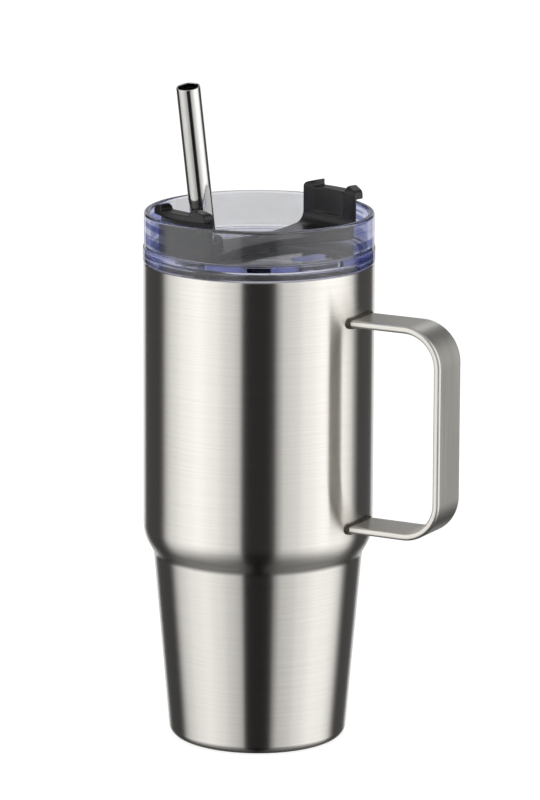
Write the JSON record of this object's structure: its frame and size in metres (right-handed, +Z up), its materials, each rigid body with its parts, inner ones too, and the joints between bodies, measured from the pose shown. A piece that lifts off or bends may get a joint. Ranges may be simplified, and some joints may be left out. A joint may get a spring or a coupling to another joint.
{
  "type": "insulated travel tumbler",
  "caption": "Double-wall steel travel tumbler with a strap handle, a clear press-in lid, a black turning dial with hooked tabs, and a leaning steel drinking straw.",
  "frame": {"origin": "centre of the foot, on the surface that the tumbler stands on", "axes": "+Z up along the body's axis, +X towards the handle"},
  "size_m": [0.1324, 0.0928, 0.2715],
  "materials": {
    "brushed_steel": "fine brushed satin",
    "liner_steel": "electropolished",
    "polished_steel": "mirror polished",
    "weld_steel": "cleaned weld",
    "getter": "sintered",
    "clear_plastic": "clear, faint blue edges",
    "clear_silicone": "translucent",
    "black_plastic": "satin moulded",
    "black_silicone": "soft matt"
  },
  "bodies": {
    "tumbler": {"outer_shell": "brushed_steel", "inner_liner": "liner_steel", "outer_base": "brushed_steel", "base_cover": "brushed_steel", "getter_pellet": "getter", "vacuum_seal": "getter", "handle_strap": "brushed_steel", "upper_weld": "weld_steel", "lower_weld": "weld_steel"},
    "lid": {"lid_body": "clear_plastic", "lid_gasket": "clear_silicone"},
    "dial": {"dial_bar": "black_plastic", "pivot_clip": "polished_steel", "pivot_seal": "black_silicone", "straw_grommet": "black_silicone", "sip_seal": "black_silicone"},
    "straw": {"straw": "polished_steel"}
  },
  "joints": [
    {"name": "lid_lift", "type": "slide", "parent": "tumbler", "child": "lid", "axis": [0, 0, 1], "range_m": [0, 0.06]},
    {"name": "dial_turn", "type": "hinge", "parent": "lid", "child": "dial", "pos_m": [0, 0, 0.2], "axis": [0, 0, 1], "range_deg": [-90, 0]},
    {"name": "straw_slide", "type": "slide", "parent": "dial", "child": "straw", "axis": [0, -0.2079, 0.9781], "range_m": [0, 0.18]}
  ]
}
